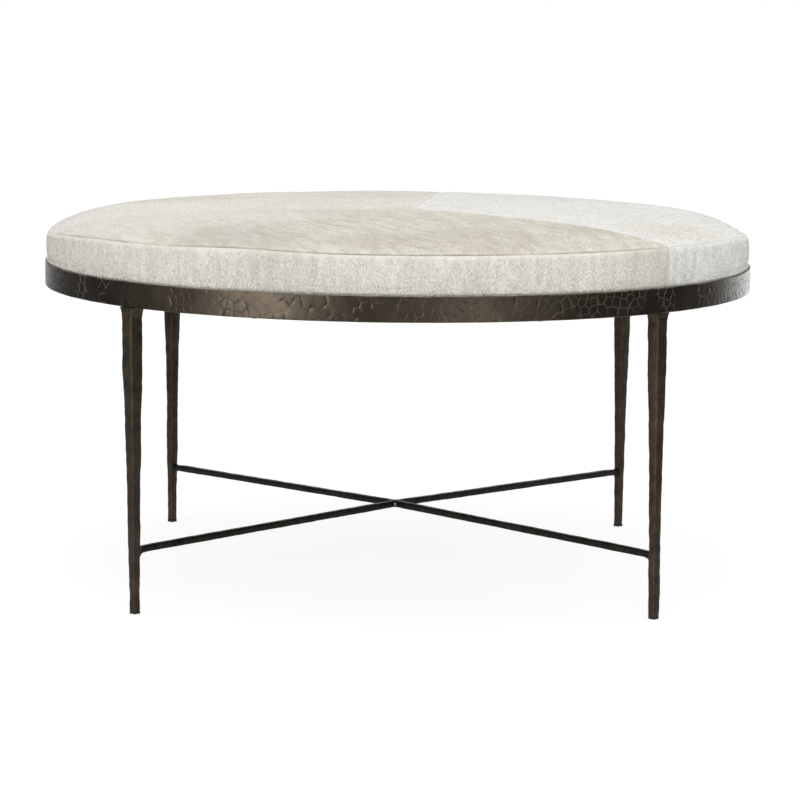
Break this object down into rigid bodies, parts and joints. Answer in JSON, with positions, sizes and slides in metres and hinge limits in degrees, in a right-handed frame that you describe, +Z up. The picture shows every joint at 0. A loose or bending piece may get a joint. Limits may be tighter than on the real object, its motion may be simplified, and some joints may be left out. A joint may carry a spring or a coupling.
{
  "type": "round hide ottoman table",
  "caption": "Low round cocktail ottoman: crowned cushion pieced from hair-on hide, set in a forged iron hoop on slim tapered legs with crossed stretchers.",
  "frame": {"origin": "centre of the footprint, on the floor", "axes": "+Z up, -Y towards the front of the picture, +X to its right; the legs stand at 45 degrees between the axes"},
  "size_m": [0.9138, 0.9138, 0.4739],
  "materials": {
    "hoop_iron": "dark bronze patina, crackled all over, half gloss",
    "leg_iron": "hammered and waxed dark bronze",
    "screw_steel": "zinc plated",
    "glide_pad": "matt black",
    "deck_plywood": "raw birch plywood",
    "seat_foam": "open-cell foam",
    "polyester_wadding": "bonded fibre",
    "dust_cloth": "black non-woven cloth",
    "hide_front": "short hair, taupe mottled on cream",
    "hide_right": "short hair, pale cream",
    "hide_back_left": "short hair, warm beige",
    "hide_band": "short hair, pale grey-cream, brushed downwards"
  },
  "bodies": {
    "root": {"apron_ring": "hoop_iron", "seat_ring": "leg_iron", "leg_front_left": "leg_iron", "leg_front_right": "leg_iron", "leg_back_right": "leg_iron", "leg_back_left": "leg_iron", "glide_front_left": "glide_pad", "glide_front_right": "glide_pad", "glide_back_right": "glide_pad", "glide_back_left": "glide_pad", "stretcher_from_front_left": "leg_iron", "stretcher_from_front_right": "leg_iron", "deck_screw_1": "screw_steel", "deck_screw_2": "screw_steel", "deck_screw_3": "screw_steel", "deck_screw_4": "screw_steel", "deck_screw_5": "screw_steel", "deck_screw_6": "screw_steel", "deck_screw_7": "screw_steel", "deck_screw_8": "screw_steel", "deck_board": "deck_plywood", "foam_core": "seat_foam", "crown_wadding": "polyester_wadding", "dust_cover": "dust_cloth", "hide_top_front": "hide_front", "hide_top_right": "hide_right", "hide_top_back_left": "hide_back_left", "hide_band_front": "hide_band", "hide_band_right": "hide_band", "hide_band_back_left": "hide_band"}
  },
  "joints": []
}
